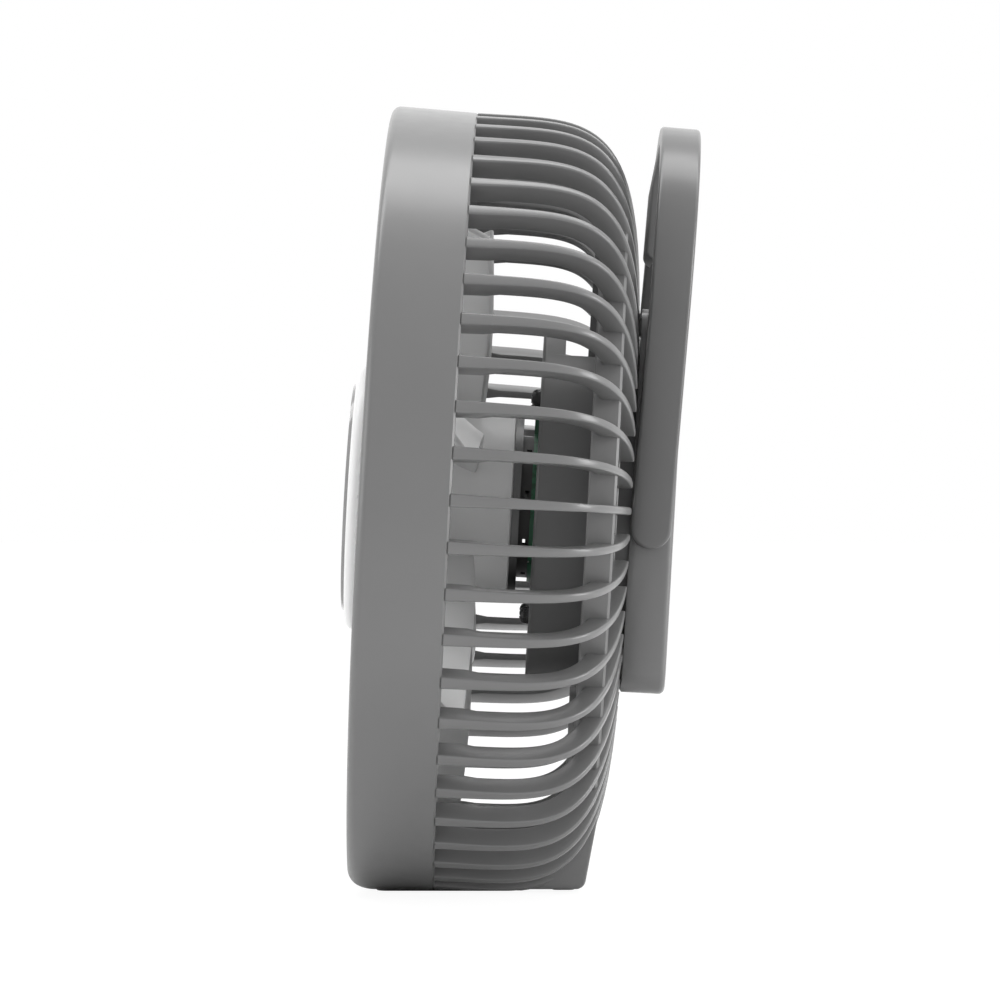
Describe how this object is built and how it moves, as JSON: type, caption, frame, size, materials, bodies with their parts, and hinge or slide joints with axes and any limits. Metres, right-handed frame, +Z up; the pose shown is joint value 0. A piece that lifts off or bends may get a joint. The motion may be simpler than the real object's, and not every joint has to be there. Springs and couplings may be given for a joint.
{
  "type": "clip fan",
  "caption": "Round ribbed table and clip fan on a flat foot: white bladed wheel, rear motor pod with battery, and a sprung arch arm with a grip pad behind it.",
  "frame": {"origin": "middle of the anti-slip pad's underside, on the surface that the fan stands on", "axes": "+Z up, -Y the way the air blows, +X to the right when looking at the front grille"},
  "size_m": [0.1984, 0.0904, 0.1971],
  "materials": {
    "body_plastic": "satin moulded plastic",
    "arm_plastic": "satin moulded plastic",
    "dark_plastic": "satin moulded plastic",
    "white_plastic": "satin moulded plastic",
    "wheel_plastic": "satin moulded plastic",
    "gloss_disc": "glossy disc",
    "soft_rubber": "matt silicone rubber",
    "screw_steel": "nickel plated steel",
    "dark_steel": "black oxide",
    "motor_metal": "turned",
    "core_steel": "laminated sheet",
    "copper": "enamelled copper wire",
    "magnet": "bonded ferrite",
    "board": "solder mask",
    "lead_black": "insulated wire",
    "lead_grey": "insulated wire",
    "cell_case": "shrink sleeve over a cell",
    "light_pipe": "frosted clear plastic"
  },
  "bodies": {
    "housing": {"front_ring": "body_plastic", "front_guard": "body_plastic", "front_cap": "white_plastic", "cap_disc": "gloss_disc", "foot_pad": "soft_rubber", "heel_pad": "soft_rubber", "rear_guard": "body_plastic", "pod_cover": "dark_plastic", "pod_screws": "dark_steel", "bearing_tube": "motor_metal", "motor_screws": "screw_steel", "bearings": "screw_steel", "stator_core": "core_steel", "stator_coils": "copper", "motor_board": "board", "motor_leads": "lead_black", "battery_tray": "dark_plastic", "battery_cells": "cell_case", "cell_tabs": "screw_steel", "battery_leads": "lead_grey", "chassis": "dark_plastic", "shell_screws": "screw_steel", "back_shell": "body_plastic", "control_board": "board", "board_screws": "screw_steel", "power_switch": "dark_plastic", "status_leds": "white_plastic", "light_pipes": "light_pipe", "usb_socket": "screw_steel", "clip_springs": "screw_steel"},
    "rotor": {"fan_wheel": "wheel_plastic", "rotor_bell": "dark_steel", "magnet_ring": "magnet", "rotor_shaft": "screw_steel", "shaft_clip": "dark_steel"},
    "arm": {"clip_arm": "arm_plastic", "grip_pad": "soft_rubber", "pivot_washers": "screw_steel", "pivot_screws": "screw_steel"},
    "button": {"power_button": "white_plastic", "switch_plunger": "white_plastic"}
  },
  "joints": [
    {"name": "fan_spin", "type": "hinge", "parent": "housing", "child": "rotor", "pos_m": [0, -0.0192, 0.0982], "axis": [0, -0.9984, 0.0558], "continuous": true},
    {"name": "arm_open", "type": "hinge", "parent": "housing", "child": "arm", "pos_m": [0, 0.04997, 0.09042], "axis": [-1, 0, 0], "range_deg": [0, 75], "stiffness_Nm_per_rad": 0.8, "springref_deg": -34.38, "deforming": ["clip_springs"]},
    {"name": "power_press", "type": "slide", "parent": "housing", "child": "button", "axis": [0, -0.9984, 0.0558], "range_m": [0, 0.0005], "stiffness_N_per_m": 3000, "springref_m": -0.0003}
  ]
}
